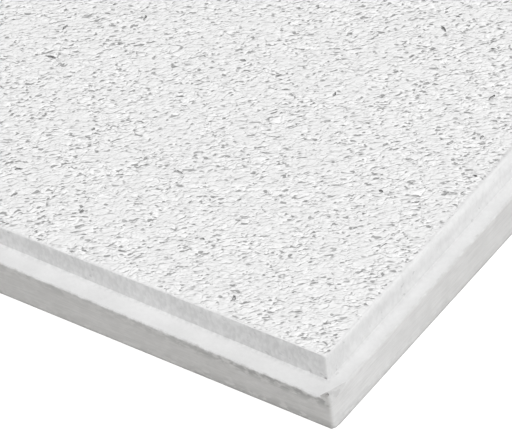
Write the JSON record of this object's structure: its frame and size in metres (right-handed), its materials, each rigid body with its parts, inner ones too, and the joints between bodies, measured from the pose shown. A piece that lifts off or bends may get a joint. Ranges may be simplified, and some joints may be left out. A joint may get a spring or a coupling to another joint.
{
  "type": "suspended ceiling tile",
  "caption": "Square mineral-fibre ceiling tile with a fissured white face and a stepped edge, laid in a tee grid so that its face hangs just below it.",
  "frame": {"origin": "centre of the back, in the plane of the back", "axes": "+Z out of the face, which is up as the tile lies on its back; +X and +Y along the sides"},
  "size_m": [0.594, 0.594, 0.015],
  "materials": {
    "board": "matte white paint on mineral fibre"
  },
  "bodies": {
    "root": {"tile": "board"}
  },
  "joints": []
}
